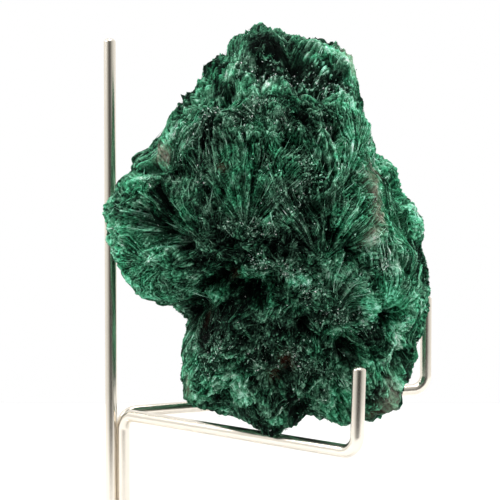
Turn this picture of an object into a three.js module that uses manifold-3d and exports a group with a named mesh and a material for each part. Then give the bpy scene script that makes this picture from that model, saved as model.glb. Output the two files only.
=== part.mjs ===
// A fibrous malachite specimen resting in a bent-wire display stand.
// Millimetres, +Z up, +X to the right and +Y away from the front of the stone.
// The origin is on the table, under the middle of the whole object.

import * as THREE from 'three';
import { mergeVertices } from 'three/addons/utils/BufferGeometryUtils.js';
import Module from 'manifold-3d';

// Wire of the stand
const wireDiameter = 2.5;
const wireSides = 12;
const bendRadius = 3.2;
const footBendRadius = 6;
const bendSteps = 6;
const domeRise = 0.8;
const domeRings = 8;
const gap = 0.3;

// Where the three wires stand, and how high the arms and the rod reach
const rodAt = [-11.73, 15.62];
const nearLegFromRod = [2.7, -0.75];
const farLegFromRod = [1.95, 2.0];
const armHeight = 42;
const rodTop = 120.5;
const footLength = 70;
const backFootLength = 48;
const backFootTurn = 166.4;

// Each arm: its run from its leg to its tip, its rise over that run, and its upturned end
const nearArm = { run: [45.45, -43.85], rise: 0.2, tipHeight: 14.8, tipLean: 0.5 };
const farArm = { run: [66.3, 15.5], rise: 2.8, tipHeight: 20, tipLean: 0 };

// The collar that holds the three wires together, low on the stem
const collarBottom = 9;
const collarHeight = 7;
const collarWall = 0.9;
const collarCornerSteps = 6;
const boreSides = 24;

// Stone: its middle, measured from the rod and from the arms' height
const stoneFromRod = [36, -13];
const stoneAboveArms = 37;
const frontDepth = 29;
const backDepth = 28.5;
const roundness = 2.5;
const heelSquareness = 6;
const crestTaper = 0.9;
const stoneDetail = 19;

// Outline of the stone from the front, x and z from its middle, anticlockwise
const outline = [
  [-33.5, -3.5], [-31.5, -6.5], [-29.5, -10.5], [-26, -12.5], [-22, -14], [-19.5, -16],
  [-21, -18.5], [-20.9, -23], [-20.8, -28], [-20.2, -31.5], [-17, -34], [-10, -35],
  [-6.5, -36], [-3, -36.5], [1.5, -36.5], [5.5, -35], [9.5, -36], [13, -35], [18.5, -36],
  [22, -34.5], [25, -29], [26.2, -24], [26.9, -20], [27.4, -15], [28.6, -10], [27.8, -6.5],
  [27.5, -4.5], [27.5, 3], [26.5, 6.5], [23, 10], [21.5, 14.5], [18.5, 17], [17.5, 20.5],
  [17, 25], [15.2, 29], [14.3, 35], [13.6, 38], [9.8, 40], [6.5, 40.7], [1.5, 41],
  [-2, 43], [-4.5, 44.2], [-7.5, 43], [-11, 40], [-12, 38], [-15.8, 35], [-16.6, 32.5],
  [-18.5, 29], [-22, 25], [-26.5, 18.5], [-30.5, 15], [-34.5, 11], [-37, 6], [-36, 3.5],
  [-35.5, 1.5],
];

// Lumps (rise above zero) and hollows (rise below zero): place from the middle, reach, rise
const lumps = [
  // Left shoulder, its lower lip and the overhang below it
  [[-27, -20, 1], 9, 3.5], [[-25, -18, -8], 4.5, 2], [[-17, -20, -13.5], 3.6, -4.5],
  [[-21, -12, -15], 3, -3], [[-22, -23, 3], 3, -2.6], [[-24, -17, 14], 2.6, -2.4],
  // Broad boss that carries the large fans, and the rim over it
  [[-8, -27, 12], 8, 2.6], [[-15, -21, 23], 3.6, 2.2], [[-8, -24, 24], 3.6, 2.4],
  [[0, -26, 23], 3.6, 2.2], [[7, -28, 5], 7, 2], [[-20, -15, 23], 4, 1.2],
  // Cavities across the middle, with a lump left standing in them
  [[-9, -28, -7], 4, -6], [[-3, -28, -8.5], 3.4, -4], [[-15, -26, -7], 3, -3.5],
  [[-12, -26, -9.5], 2.2, 2.8], [[-9, -28, -1], 3.6, -2], [[4, -29, -9], 3, -1.6],
  // Hollow under the crest, and the crest
  [[4, -22, 30], 5, -5], [[10.5, -20, 29], 3.6, -3.2], [[-3, -22, 32], 4, -2.6],
  [[-4, -12, 40], 6, 1.6], [[8, -12, 38], 5, 1.4], [[-13, -19, 27], 2.4, -2.2],
  [[4, -17, 36.5], 3, 1.6], [[0, -23, 27.5], 2.4, 1.4],
  // Rib down the right of the front, and the crack beside it
  [[15, -17, 20], 4, 2], [[16, -23, 9], 4.4, 2.2], [[18, -24, -3], 4.4, 1.6],
  [[20, -14, 14], 2.6, -2], [[21, -20, 2], 2.6, -1.8], [[15, -14, 27], 4, 1.2],
  // Right flank
  [[22, -20, -10], 8, 2.6], [[20.5, -19, -22], 3, -3.2], [[26, 0, -2], 8, 1.5],
  // Lower block: front, pits, hanging lobe, flaps and slab
  [[-11, -23, -20], 7, 2], [[10.5, -26, -19], 2.6, -3], [[4, -26, -24], 5, 1.4],
  [[-2, -21, -33.5], 5.6, 6.4], [[3.6, -22, -31], 2.4, -3.6], [[9, -21, -31.5], 4, 2.6],
  [[18, -20, -29], 6, 2.8], [[-17, -16, -28], 5, 1.5], [[13.5, -22, -33], 2.2, -2],
  // Back and sides
  [[-15, 22, 15], 9, 3], [[12, 24, -5], 10, 2.6], [[0, 18, -27], 8, 2],
  [[-20, 17, -8], 6, -3], [[5, 18, 29], 7, -3], [[-6, 27, -3], 4, -4], [[14, 18, 14], 5, -3],
  [[20, 14, -20], 6, 2.4], [[-6, 14, 33], 6, 2.4], [[8, 26, 6], 3, -2.4],
];

// Fans of fibres: apex, the way the fan opens, how far it reaches, ribs in a full turn, rise
const fans = [
  { apex: [-8, -29, 3], opens: [0.1, 0, 1], reach: 17, ribs: 26, rise: 0.55 },
  { apex: [-16, -27, 0.5], opens: [-0.6, 0, 0.8], reach: 15, ribs: 22, rise: 0.5 },
  { apex: [6.5, -29, -3], opens: [0.3, 0, 1], reach: 15, ribs: 22, rise: 0.5 },
  { apex: [-30, -12, 4], opens: [0.5, 0, 1], reach: 22, ribs: 20, rise: 0.5 },
  { apex: [17, -22, -14], opens: [0.4, 0, 1], reach: 16, ribs: 20, rise: 0.5 },
  { apex: [-4, 27, 6], opens: [-0.3, 0, 1], reach: 18, ribs: 20, rise: 0.5 },
  { apex: [14, 22, -12], opens: [0.3, 0, 1], reach: 16, ribs: 20, rise: 0.5 },
];
const fanSpread = 1.25;
const fanCore = 5;

// Grain over the whole surface: length of the waves and their height, how each of the three
// crossed waves leans into another axis and how far apart they start, the creases between the
// swellings, and how far the grain's mean lies below the body
const waves = [[17, 0.8], [9.5, 0.75], [6.3, 0.5]];
const waveLeans = [0.6, -0.5, 0.7];
const waveOffset = 2;
const creaseLength = 11;
const creaseDepth = 1.1;
const creaseSharpness = 6;
const creaseBend = 2;
const creaseBendRate = 0.8;
const grainInset = 1.4;

// Room left for the flats between the stone's points where it meets a wire, and how far past
// the ends of an arm that room goes on
const facetRoom = 0.55;
const armEndRoom = 5;

const weldTolerance = 1e-4;

const wireRadius = wireDiameter / 2;
const sectionRadius = wireRadius / Math.cos(Math.PI / wireSides);
const stoneCentre = new THREE.Vector3(
  rodAt[0] + stoneFromRod[0],
  rodAt[1] + stoneFromRod[1],
  armHeight + stoneAboveArms,
);
const wireClearance = wireRadius + gap + facetRoom;

const wasm = await Module();
wasm.setup();

const steel = new THREE.MeshStandardMaterial({ color: 0xc9c4b8, roughness: 0.32, metalness: 1 });
const collarSteel = new THREE.MeshStandardMaterial({ color: 0xaaa69b, roughness: 0.45, metalness: 1 });
const malachite = new THREE.MeshStandardMaterial({ color: 0x1f6b4c, roughness: 0.6, metalness: 0 });

// A closed geometry with its shared vertices merged
function welded(geometry) {
  geometry.deleteAttribute('normal');
  geometry.deleteAttribute('uv');
  return mergeVertices(geometry, weldTolerance);
}

function toSolid(geometry) {
  const merged = welded(geometry);
  return new wasm.Manifold(new wasm.Mesh({
    numProp: 3,
    vertProperties: new Float32Array(merged.getAttribute('position').array),
    triVerts: new Uint32Array(merged.index.array),
  }));
}

function fromSolid(solid) {
  const mesh = solid.getMesh();
  const geometry = new THREE.BufferGeometry();
  geometry.setAttribute('position', new THREE.BufferAttribute(mesh.vertProperties, 3));
  geometry.setIndex(new THREE.BufferAttribute(mesh.triVerts, 1));
  return geometry;
}

// The centre line of a bent wire: straight runs joined by round bends at its corners.
// Its stations are the ends of the runs and even steps round each bend.
class BentWire extends THREE.Curve {
  constructor(corners, radii) {
    super();
    this.stations = [corners[0]];
    for (let i = 1; i < corners.length - 1; i += 1) {
      const corner = corners[i];
      const into = corner.clone().sub(corners[i - 1]).normalize();
      const out = corners[i + 1].clone().sub(corner).normalize();
      const turn = into.angleTo(out);
      const setback = radii[i - 1] * Math.tan(turn / 2);
      const inward = out.clone().sub(into).normalize();
      const centre = corner.clone().addScaledVector(inward, radii[i - 1] / Math.cos(turn / 2));
      const start = corner.clone().addScaledVector(into, -setback).sub(centre);
      const axis = into.clone().cross(out).normalize();
      for (let k = 0; k <= bendSteps; k += 1) {
        this.stations.push(start.clone().applyAxisAngle(axis, (turn * k) / bendSteps).add(centre));
      }
    }
    this.stations.push(corners.at(-1));
  }

  getUtoTmapping(u) {
    return u;
  }

  getPoint(t, target = new THREE.Vector3()) {
    const along = t * (this.stations.length - 1);
    const i = Math.min(Math.floor(along), this.stations.length - 2);
    return target.lerpVectors(this.stations[i], this.stations[i + 1], along - i);
  }
}

// The wire's section, turned so that a flat of it faces down along a foot
function wireSection() {
  const section = new THREE.Shape();
  for (let k = 0; k < wireSides; k += 1) {
    const angle = (2 * Math.PI * (k + 0.5)) / wireSides;
    const x = sectionRadius * Math.cos(angle);
    const y = sectionRadius * Math.sin(angle);
    if (k === 0) {
      section.moveTo(x, y);
    } else {
      section.lineTo(x, y);
    }
  }
  section.closePath();
  return section;
}

// A wire swept along its corners, with a low dome on each end
function wire(corners, radii) {
  const path = new BentWire(corners, radii);
  const tube = new THREE.ExtrudeGeometry(wireSection(), {
    steps: path.stations.length - 1,
    extrudePath: path,
  });
  let solid = toSolid(tube);
  const ends = [[corners[0], corners[1]], [corners.at(-1), corners.at(-2)]];
  for (const [end, inner] of ends) {
    const dome = new THREE.SphereGeometry(wireRadius, wireSides, domeRings);
    dome.scale(1, domeRise / wireRadius, 1);
    const outward = end.clone().sub(inner).normalize();
    dome.applyQuaternion(new THREE.Quaternion().setFromUnitVectors(new THREE.Vector3(0, 1, 0), outward));
    dome.translate(end.x, end.y, end.z);
    solid = solid.add(toSolid(dome));
  }
  return fromSolid(solid);
}

// A wire that runs from its foot up the stem, out along its arm and up at the tip
function armWire(legFromRod, arm) {
  const x = rodAt[0] + legFromRod[0];
  const y = rodAt[1] + legFromRod[1];
  const run = Math.hypot(arm.run[0], arm.run[1]);
  const out = [arm.run[0] / run, arm.run[1] / run];
  const tip = [x + arm.run[0], y + arm.run[1], armHeight + arm.rise];
  return wire([
    new THREE.Vector3(x + out[0] * footLength, y + out[1] * footLength, wireRadius),
    new THREE.Vector3(x, y, wireRadius),
    new THREE.Vector3(x, y, armHeight),
    new THREE.Vector3(...tip),
    new THREE.Vector3(tip[0] + out[0] * arm.tipLean, tip[1] + out[1] * arm.tipLean, tip[2] + arm.tipHeight),
  ], [footBendRadius, bendRadius, bendRadius]);
}

// The wire at the back: a foot behind the stem, then the tall upright rod
function backRod() {
  const turn = THREE.MathUtils.degToRad(backFootTurn);
  const [x, y] = rodAt;
  return wire([
    new THREE.Vector3(
      x + backFootLength * Math.cos(turn),
      y + backFootLength * Math.sin(turn),
      wireRadius,
    ),
    new THREE.Vector3(x, y, wireRadius),
    new THREE.Vector3(x, y, rodTop - domeRise),
  ], [footBendRadius]);
}

// The collar: a rounded three-cornered sleeve round the stem, bored for each wire and hollow
// in the middle between them
function stemCollar() {
  const posts = [[0, 0], nearLegFromRod, farLegFromRod].map(([x, y]) => new THREE.Vector2(x, y));
  const middle = new THREE.Vector2();
  posts.forEach((post) => middle.addScaledVector(post, 1 / posts.length));
  posts.sort((a, b) => a.clone().sub(middle).angle() - b.clone().sub(middle).angle());
  const outer = wireRadius + gap + collarWall;
  const sleeve = new THREE.Shape();
  posts.forEach((post, i) => {
    const before = posts.at(i - 1);
    const after = posts[(i + 1) % posts.length];
    const start = post.clone().sub(before).angle() - Math.PI / 2;
    const end = after.clone().sub(post).angle() - Math.PI / 2;
    sleeve.absarc(post.x, post.y, outer, start, end, false);
  });
  const block = new THREE.ExtrudeGeometry(sleeve, {
    depth: collarHeight,
    bevelEnabled: false,
    curveSegments: collarCornerSteps,
  });
  block.translate(rodAt[0], rodAt[1], collarBottom);
  let solid = toSolid(block);
  const bores = [...posts.map((post) => [post, sectionRadius + gap]), [middle, wireRadius]];
  for (const [at, radius] of bores) {
    const bore = new THREE.CylinderGeometry(radius, radius, collarHeight * 2, boreSides);
    bore.rotateX(Math.PI / 2);
    bore.translate(rodAt[0] + at.x, rodAt[1] + at.y, collarBottom + collarHeight / 2);
    solid = solid.subtract(toSolid(bore));
  }
  return fromSolid(solid);
}

// The outline's radius in each direction, eased from one outline point to the next
const knots = outline
  .map(([x, z]) => ({ angle: Math.atan2(z, x), radius: Math.hypot(x, z) }))
  .sort((a, b) => a.angle - b.angle);

function outlineRadius(angle) {
  let i = knots.findIndex((knot) => knot.angle > angle);
  if (i < 0) {
    i = 0;
  }
  const after = knots[i];
  const before = knots[(i + knots.length - 1) % knots.length];
  const span = (after.angle - before.angle + 2 * Math.PI) % (2 * Math.PI);
  const t = ((angle - before.angle + 2 * Math.PI) % (2 * Math.PI)) / span;
  const eased = t * t * (3 - 2 * t);
  return before.radius + (after.radius - before.radius) * eased;
}

// A rounded body: the outline in the plane of the front view, full in depth at its middle,
// squarer towards the heel at the back of the underside, which lies on the arms, and drawn
// in towards the crest
function bodyPoint(direction) {
  const across = Math.hypot(direction.x, direction.z);
  const outlineAt = outlineRadius(Math.atan2(direction.z, direction.x));
  const depth = direction.y < 0 ? frontDepth : backDepth;
  const heel = Math.max(0, direction.y) * Math.max(0, -direction.z);
  const power = roundness + heelSquareness * heel - crestTaper * Math.max(0, direction.z) ** 4;
  const inverse = (across / outlineAt) ** power + (Math.abs(direction.y) / depth) ** power;
  return direction.clone().multiplyScalar(inverse ** (-1 / power));
}

// Rise of the ribs of one fan at a point: waves round the apex, fading with the distance from it
function fanRise(fan, point) {
  const apex = new THREE.Vector3(...fan.apex);
  const normal = apex.clone().normalize();
  const along = new THREE.Vector3(...fan.opens).projectOnPlane(normal).normalize();
  const across = normal.clone().cross(along);
  const from = point.clone().sub(apex);
  const distance = from.length();
  const turn = Math.atan2(from.dot(across), from.dot(along));
  const core = Math.min(distance / fanCore, 1);
  const fade = Math.exp(-((distance / fan.reach) ** 4) - (turn / fanSpread) ** 4);
  return fan.rise * Math.cos(fan.ribs * turn) * core * fade;
}

// Waves of three lengths in all directions, and narrow creases between rounded swellings
function grain(point) {
  let rise = 0;
  waves.forEach(([length, height], i) => {
    const k = (2 * Math.PI) / length;
    const wave = Math.sin(k * (point.x + waveLeans[0] * point.y) + i)
      + Math.sin(k * (point.y + waveLeans[1] * point.z) + i + waveOffset)
      + Math.sin(k * (point.z + waveLeans[2] * point.x) + i + 2 * waveOffset);
    rise += (height * wave) / 3;
  });
  const k = Math.PI / creaseLength;
  const bend = creaseBend * Math.sin(k * creaseBendRate * point.y);
  const crease = Math.abs(Math.sin(k * (point.x + point.z) + bend))
    * Math.abs(Math.sin(k * (point.x - point.z + point.y) + 1));
  return rise - creaseDepth * Math.exp(-creaseSharpness * crease) - grainInset;
}

// Moves a point sideways until it is clear of an upright wire
function clearOfUpright(point, x, y) {
  const dx = point.x - x;
  const dy = point.y - y;
  const away = Math.hypot(dx, dy);
  if (away < wireClearance) {
    point.x = x + (dx * wireClearance) / away;
    point.y = y + (dy * wireClearance) / away;
  }
}

// Lifts a point until it is clear of an arm that starts at its leg
function clearOfArm(point, legFromRod, arm) {
  const x = point.x - rodAt[0] - legFromRod[0];
  const y = point.y - rodAt[1] - legFromRod[1];
  const run = Math.hypot(arm.run[0], arm.run[1]);
  const along = (x * arm.run[0] + y * arm.run[1]) / run;
  const aside = Math.abs(x * arm.run[1] - y * arm.run[0]) / run;
  if (along > -armEndRoom && along < run + armEndRoom && aside < wireClearance) {
    const top = Math.sqrt(wireClearance ** 2 - aside ** 2);
    point.z = Math.max(point.z, armHeight + (arm.rise * along) / run + top);
  }
}

// The stone: a sphere's points carried out to the body, then raised and sunk by its features
function stone() {
  const geometry = welded(new THREE.IcosahedronGeometry(1, stoneDetail));
  const positions = geometry.getAttribute('position');
  const direction = new THREE.Vector3();
  for (let i = 0; i < positions.count; i += 1) {
    direction.fromBufferAttribute(positions, i).normalize();
    const body = bodyPoint(direction);
    let rise = grain(body);
    for (const [at, reach, height] of lumps) {
      const distance = body.distanceTo(new THREE.Vector3(...at));
      rise += height * Math.exp(-((distance / reach) ** 2) / 2);
    }
    for (const fan of fans) {
      rise += fanRise(fan, body);
    }
    const point = body.addScaledVector(direction, rise).add(stoneCentre);
    clearOfUpright(point, rodAt[0], rodAt[1]);
    clearOfArm(point, nearLegFromRod, nearArm);
    clearOfArm(point, farLegFromRod, farArm);
    positions.setXYZ(i, point.x, point.y, point.z);
  }
  return geometry;
}

const group = new THREE.Group();

function addPiece(name, geometry, material) {
  const mesh = new THREE.Mesh(geometry, material);
  mesh.name = name;
  group.add(mesh);
}

addPiece('malachite', stone(), malachite);
addPiece('back_rod', backRod(), steel);
addPiece('near_arm', armWire(nearLegFromRod, nearArm), steel);
addPiece('far_arm', armWire(farLegFromRod, farArm), steel);
addPiece('stem_collar', stemCollar(), collarSteel);

export default group;
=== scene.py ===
# %% [markdown]
# # A fibrous malachite specimen on its wire stand
#
# The object is a rough green stone about 80 mm tall, grown as thousands of fine needles that
# spread in fans from many points. It rests in two hooked wire arms and leans on a tall wire rod.
#
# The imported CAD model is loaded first. It fixes every size and place, so everything below is
# measured from it, and nothing that it holds is moved. All lengths in the helpers are
# millimetres, because the stone is easier to describe in them; each mesh is written in metres.

import itertools
import math

import bpy
import numpy as np
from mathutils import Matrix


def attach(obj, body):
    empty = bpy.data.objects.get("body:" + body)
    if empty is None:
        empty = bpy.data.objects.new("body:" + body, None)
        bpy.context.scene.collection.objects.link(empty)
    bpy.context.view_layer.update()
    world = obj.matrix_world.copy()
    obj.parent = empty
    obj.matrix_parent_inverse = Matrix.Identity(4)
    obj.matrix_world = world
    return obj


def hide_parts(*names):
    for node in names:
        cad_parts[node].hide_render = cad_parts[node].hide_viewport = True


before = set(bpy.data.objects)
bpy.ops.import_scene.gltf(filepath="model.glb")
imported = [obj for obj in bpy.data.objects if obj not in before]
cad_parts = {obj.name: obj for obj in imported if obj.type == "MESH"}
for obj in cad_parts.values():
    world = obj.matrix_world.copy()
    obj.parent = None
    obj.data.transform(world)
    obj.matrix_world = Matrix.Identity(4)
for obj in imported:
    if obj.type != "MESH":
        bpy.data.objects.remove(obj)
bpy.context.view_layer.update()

# %% [markdown]
# ## Where things stand
#
# The stand is three wires of one gauge. The rod behind the stone stands straight up, so places
# are measured from it. Its box also holds its foot, so its place is kept here as the same named
# value as in the CAD source. The other two wires come up beside it and bend over into the arms:
# an arm's run goes out from its leg, climbs by its rise, and ends in a tip that turns up.

# %% Driving values, in millimetres
MM = 0.001
ROD = np.array([-11.73, 15.62])
WIRE_RADIUS, WIRE_ROOM = 1.25, 0.35
ARM_HEIGHT = 42.0
STONE_FROM_ROD = (36, -13, 37)
STONE_CENTRE = np.array([*ROD, ARM_HEIGHT]) + STONE_FROM_ROD
NEAR_LEG, FAR_LEG = np.array([2.7, -0.75]), np.array([1.95, 2.0])
NEAR_ARM = {"run": np.array([45.45, -43.85]), "rise": 0.2, "tip": 14.8, "lean": 0.5}
FAR_ARM = {"run": np.array([66.3, 15.5]), "rise": 2.8, "tip": 20.0, "lean": 0.0}
ARMS = ((NEAR_LEG, NEAR_ARM), (FAR_LEG, FAR_ARM))
ABOVE_THE_CREST, ABOVE_A_TIP = 130, 4
# The place of each upright that the stone has to clear, and from what height to what height.
UPRIGHTS = [(*ROD, 0, ABOVE_THE_CREST)] + [
    (*(ROD + leg + arm["run"]), 0, ARM_HEIGHT + arm["tip"] + ABOVE_A_TIP) for leg, arm in ARMS
]
print("stone centre:", STONE_CENTRE)

# %% [markdown]
# ## The camera
#
# The widths of the wires at their different distances give a lens of 100 mm on a 36 mm sensor,
# a little to the right of the rod, 89 mm above the table and tilted down by about 2.5 degrees.
# A long lens keeps the two arms at nearly the same thickness, as in a product photograph.

# %% Camera
CAMERA_FROM_ROD = np.array([29.16, -290.2, 89.0])
CAMERA_PITCH_DOWN = 2.47

camera_data = bpy.data.cameras.new("camera")
camera_data.lens = 100
camera_data.sensor_width = 36
camera_data.clip_start = 0.01
camera = bpy.data.objects.new("camera", camera_data)
camera.location = (np.array([*ROD, 0]) + CAMERA_FROM_ROD) * MM
camera.rotation_euler = (math.radians(90 - CAMERA_PITCH_DOWN), 0, 0)
bpy.context.scene.collection.objects.link(camera)
bpy.context.scene.camera = camera
print("camera at", tuple(round(c, 4) for c in camera.location))

# %% [markdown]
# ## The form of the stone
#
# Seen from its middle, the stone hides none of its own surface, so the surface is one distance
# in every direction from there. The same named values as in the CAD source describe it: an
# outline seen from the front, a depth, lumps and hollows, fans of ribs, and a grain of waves
# and creases. The back isn't in the photograph, so its values are made up in kind.

# %% Values of the stone's form
# The outline's points: how far to the right of the stone's middle, and how far up.
OUTLINE = np.array([
    [-33.5, -3.5], [-31.5, -6.5], [-29.5, -10.5], [-26, -12.5], [-22, -14], [-19.5, -16],
    [-21, -18.5], [-20.9, -23], [-20.8, -28], [-20.2, -31.5], [-17, -34], [-10, -35],
    [-6.5, -36], [-3, -36.5], [1.5, -36.5], [5.5, -35], [9.5, -36], [13, -35], [18.5, -36],
    [22, -34.5], [25, -29], [26.2, -24], [26.9, -20], [27.4, -15], [28.6, -10], [27.8, -6.5],
    [27.5, -4.5], [27.5, 3], [26.5, 6.5], [23, 10], [21.5, 14.5], [18.5, 17], [17.5, 20.5],
    [17, 25], [15.2, 29], [14.3, 35], [13.6, 38], [9.8, 40], [6.5, 40.7], [1.5, 41],
    [-2, 43], [-4.5, 44.2], [-7.5, 43], [-11, 40], [-12, 38], [-15.8, 35], [-16.6, 32.5],
    [-18.5, 29], [-22, 25], [-26.5, 18.5], [-30.5, 15], [-34.5, 11], [-37, 6], [-36, 3.5],
    [-35.5, 1.5],
])
FRONT_DEPTH, BACK_DEPTH = 29.0, 28.5
ROUNDNESS, HEEL_SQUARENESS, CREST_TAPER = 2.5, 6.0, 0.9

# Each lump: its place from the stone's middle, its reach, and its rise, negative for a hollow.
LUMPS = [
    (-27, -20, 1, 9, 3.5), (-25, -18, -8, 4.5, 2), (-17, -20, -13.5, 3.6, -4.5), (-21, -12, -15, 3, -3),
    (-22, -23, 3, 3, -2.6), (-24, -17, 14, 2.6, -2.4), (-8, -27, 12, 8, 2.6), (-15, -21, 23, 3.6, 2.2),
    (-8, -24, 24, 3.6, 2.4), (0, -26, 23, 3.6, 2.2), (7, -28, 5, 7, 2), (-20, -15, 23, 4, 1.2),
    (-9, -28, -7, 4, -6), (-3, -28, -8.5, 3.4, -4), (-15, -26, -7, 3, -3.5), (-12, -26, -9.5, 2.2, 2.8),
    (-9, -28, -1, 3.6, -2), (4, -29, -9, 3, -1.6), (4, -22, 30, 5, -5), (10.5, -20, 29, 3.6, -3.2),
    (-3, -22, 32, 4, -2.6), (-4, -12, 40, 6, 1.6), (8, -12, 38, 5, 1.4), (-13, -19, 27, 2.4, -2.2),
    (4, -17, 36.5, 3, 1.6), (0, -23, 27.5, 2.4, 1.4), (15, -17, 20, 4, 2), (16, -23, 9, 4.4, 2.2),
    (18, -24, -3, 4.4, 1.6), (20, -14, 14, 2.6, -2), (21, -20, 2, 2.6, -1.8), (15, -14, 27, 4, 1.2),
    (22, -20, -10, 8, 2.6), (20.5, -19, -22, 3, -3.2), (26, 0, -2, 8, 1.5), (-11, -23, -20, 7, 2),
    (10.5, -26, -19, 2.6, -3), (4, -26, -24, 5, 1.4), (-2, -21, -33.5, 5.6, 6.4),
    (3.6, -22, -31, 2.4, -3.6), (9, -21, -31.5, 4, 2.6), (18, -20, -29, 6, 2.8), (-17, -16, -28, 5, 1.5),
    (13.5, -22, -33, 2.2, -2), (-15, 22, 15, 9, 3), (12, 24, -5, 10, 2.6), (0, 18, -27, 8, 2),
    (-20, 17, -8, 6, -3), (5, 18, 29, 7, -3), (-6, 27, -3, 4, -4), (14, 18, 14, 5, -3),
    (20, 14, -20, 6, 2.4), (-6, 14, 33, 6, 2.4), (8, 26, 6, 3, -2.4),
]
# Each wave's length and height.
WAVES = [(17, 0.8), (9.5, 0.75), (6.3, 0.5)]
CREASE_LENGTH, CREASE_DEPTH, GRAIN_INSET = 11, 1.1, 1.4
FAN_SPREAD, FAN_START = 1.25, 5
# Each ribbed fan: its apex, the way it opens, its reach, its ribs in a full turn, their height.
RIBBED_FANS = [
    ([-8, -29, 3], [0.1, 0, 1], 17, 26, 0.55), ([-16, -27, 0.5], [-0.6, 0, 0.8], 15, 22, 0.5),
    ([6.5, -29, -3], [0.3, 0, 1], 15, 22, 0.5), ([-30, -12, 4], [0.5, 0, 1], 22, 20, 0.5),
    ([17, -22, -14], [0.4, 0, 1], 16, 20, 0.5), ([-4, 27, 6], [-0.3, 0, 1], 18, 20, 0.5),
    ([14, 22, -12], [0.3, 0, 1], 16, 20, 0.5),
]
print(len(OUTLINE), "points of the outline,", len(LUMPS), "lumps and hollows,", len(RIBBED_FANS), "fans")

# %% [markdown]
# ## The rounded body
#
# Without its lumps the stone is like a pebble that has been squashed into its outline. From the
# front it follows the outline, which is eased between its points, and towards the front and the
# back it closes like an egg. Its heel, low at the back, is squarer, and its crest is thinner.

# %% The body
def unit(v):
    """Each row divided by its length."""
    return v / np.maximum(np.linalg.norm(v, axis=-1, keepdims=True), 1e-9)


def outline_radius(angle):
    """The outline's distance from the middle at each angle, eased between its points."""
    knots = np.arctan2(OUTLINE[:, 1], OUTLINE[:, 0])
    radii = np.hypot(OUTLINE[:, 0], OUTLINE[:, 1])
    order = np.argsort(knots)
    knots, radii = knots[order], radii[order]
    knots = np.concatenate([[knots[-1] - 2 * np.pi], knots, [knots[0] + 2 * np.pi]])
    radii = np.concatenate([[radii[-1]], radii, [radii[0]]])
    i = np.clip(np.searchsorted(knots, angle, side="right") - 1, 0, len(knots) - 2)
    t = (angle - knots[i]) / (knots[i + 1] - knots[i])
    return radii[i] + (radii[i + 1] - radii[i]) * t * t * (3 - 2 * t)


def body(d):
    """The rounded body: (across / outline)^p + (depth / full depth)^p = 1 along each direction."""
    across = np.hypot(d[:, 0], d[:, 2])
    edge = outline_radius(np.arctan2(d[:, 2], d[:, 0]))
    depth = np.where(d[:, 1] < 0, FRONT_DEPTH, BACK_DEPTH)
    heel = np.maximum(0, d[:, 1]) * np.maximum(0, -d[:, 2])
    p = ROUNDNESS + HEEL_SQUARENESS * heel - CREST_TAPER * np.maximum(0, d[:, 2]) ** 4
    r = ((across / edge) ** p + (np.abs(d[:, 1]) / depth) ** p) ** (-1 / p)
    return d * r[:, None]


some_ways = unit(np.random.default_rng(3).normal(size=(2000, 3)))
print("the body's size:", np.ptp(body(some_ways), axis=0).round(1))

# %% [markdown]
# ## Grain, ribs and lumps
#
# Three things stand out from the body. The grain is a sum of waves with narrow creases between
# them. The ribs run out from each fan's apex like the ribs of a scallop's shell. The lumps are
# soft bumps and hollows. Each gives a rise for every point, and the rises are added up.

# %% What stands out from the body
def grain(q):
    """Waves of three lengths, less narrow creases between rounded swellings."""
    x, y, z = q.T
    rise = np.zeros(len(q))
    for i, (length, height) in enumerate(WAVES):
        k = 2 * np.pi / length
        wave = np.sin(k * (x + 0.6 * y) + i) + np.sin(k * (y - 0.5 * z) + 2 + i)
        rise += height / 3 * (wave + np.sin(k * (z + 0.7 * x) + 4 + i))
    k = np.pi / CREASE_LENGTH
    crease = np.abs(np.sin(k * (x + z) + 2 * np.sin(k * 0.8 * y)))
    crease *= np.abs(np.sin(k * (x - z + y) + 1))
    return rise - CREASE_DEPTH * np.exp(-6 * crease) - GRAIN_INSET


def fan_axes(apex, opens):
    """The outward normal at an apex, the way its fan opens, and the direction across it."""
    normal = unit(np.asarray(apex, float))
    along = np.asarray(opens, float)
    along = unit(along - (along * normal).sum(-1, keepdims=True) * normal)
    return normal, along, np.cross(normal, along)


def ribs(q):
    """Waves round each fan's apex, fading with the distance from it and away from its middle."""
    rise = np.zeros(len(q))
    for apex, opens, reach, count, height in RIBBED_FANS:
        _, along, across = fan_axes(apex, opens)
        away = q - apex
        distance = np.linalg.norm(away, axis=1)
        turn = np.arctan2(away @ across, away @ along)
        fade = np.exp(-((distance / reach) ** 4) - (turn / FAN_SPREAD) ** 4)
        rise += height * np.cos(count * turn) * np.minimum(distance / FAN_START, 1) * fade
    return rise


def lumps(q, listed=LUMPS):
    """The sum of rounded lumps and hollows: rise times exp(-(distance / reach)^2 / 2)."""
    rise = np.zeros(len(q))
    for *at, reach, height in listed:
        rise += height * np.exp(-((q - at) ** 2).sum(1) / (2 * reach * reach))
    return rise


for part_of_form in (grain, ribs, lumps):
    rise = part_of_form(body(some_ways))
    print(part_of_form.__name__, "from", rise.min().round(1), "to", rise.max().round(1))

# %% [markdown]
# ## Room for the wires
#
# The stone rests on the arms and leans on the rod, so its skin mustn't run into them. Points
# that come too near an upright wire are moved sideways, straight away from its middle, and
# points that would be inside an arm are lifted on top of it.

# %% Room for the wires
PAST_THE_ENDS = 5


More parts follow.
